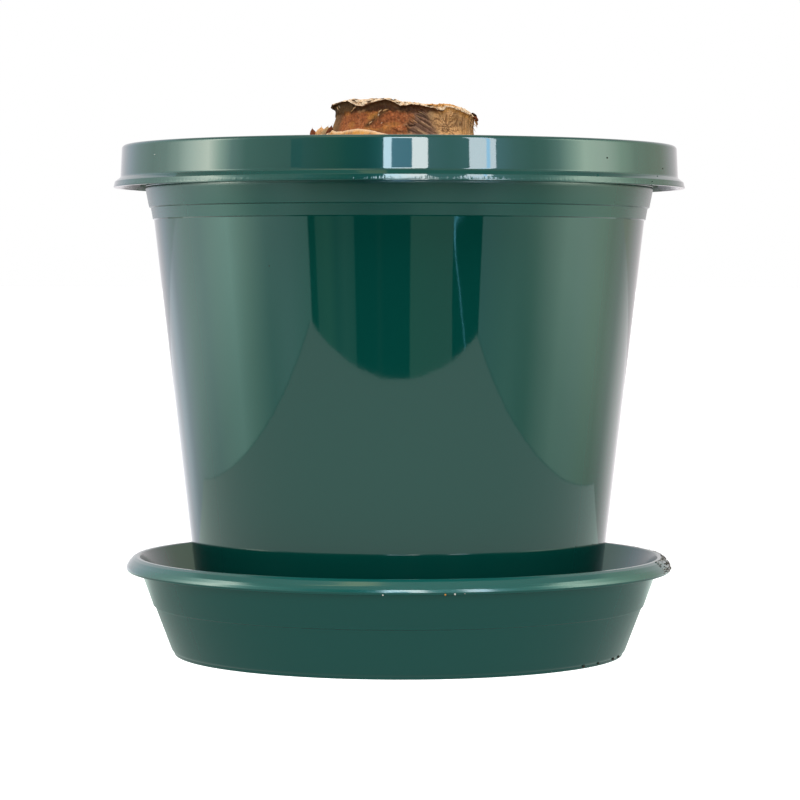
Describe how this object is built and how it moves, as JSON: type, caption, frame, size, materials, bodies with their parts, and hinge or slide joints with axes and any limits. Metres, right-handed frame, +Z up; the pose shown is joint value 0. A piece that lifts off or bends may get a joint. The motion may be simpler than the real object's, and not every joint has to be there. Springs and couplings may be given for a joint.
{
  "type": "potted amaryllis bulb",
  "caption": "Dormant amaryllis bulb with a torn papery tunic, planted in soil in a round tapered plastic flower pot that stands in a matching saucer.",
  "frame": {"origin": "centre of the saucer's foot ring, on the surface that the saucer stands on", "axes": "+Z up along the pot's axis, -Y towards the front"},
  "size_m": [0.1538, 0.1538, 0.1499],
  "materials": {
    "saucer_plastic": "gloss",
    "pot_plastic": "gloss",
    "potting_soil": "rough, crumbly",
    "bulb_skin": "dry, matt",
    "dry_tunic": "dry, matt"
  },
  "bodies": {
    "root": {"saucer": "saucer_plastic", "pot": "pot_plastic", "soil": "potting_soil", "bulb": "bulb_skin", "outer_tunic": "dry_tunic"}
  },
  "joints": []
}
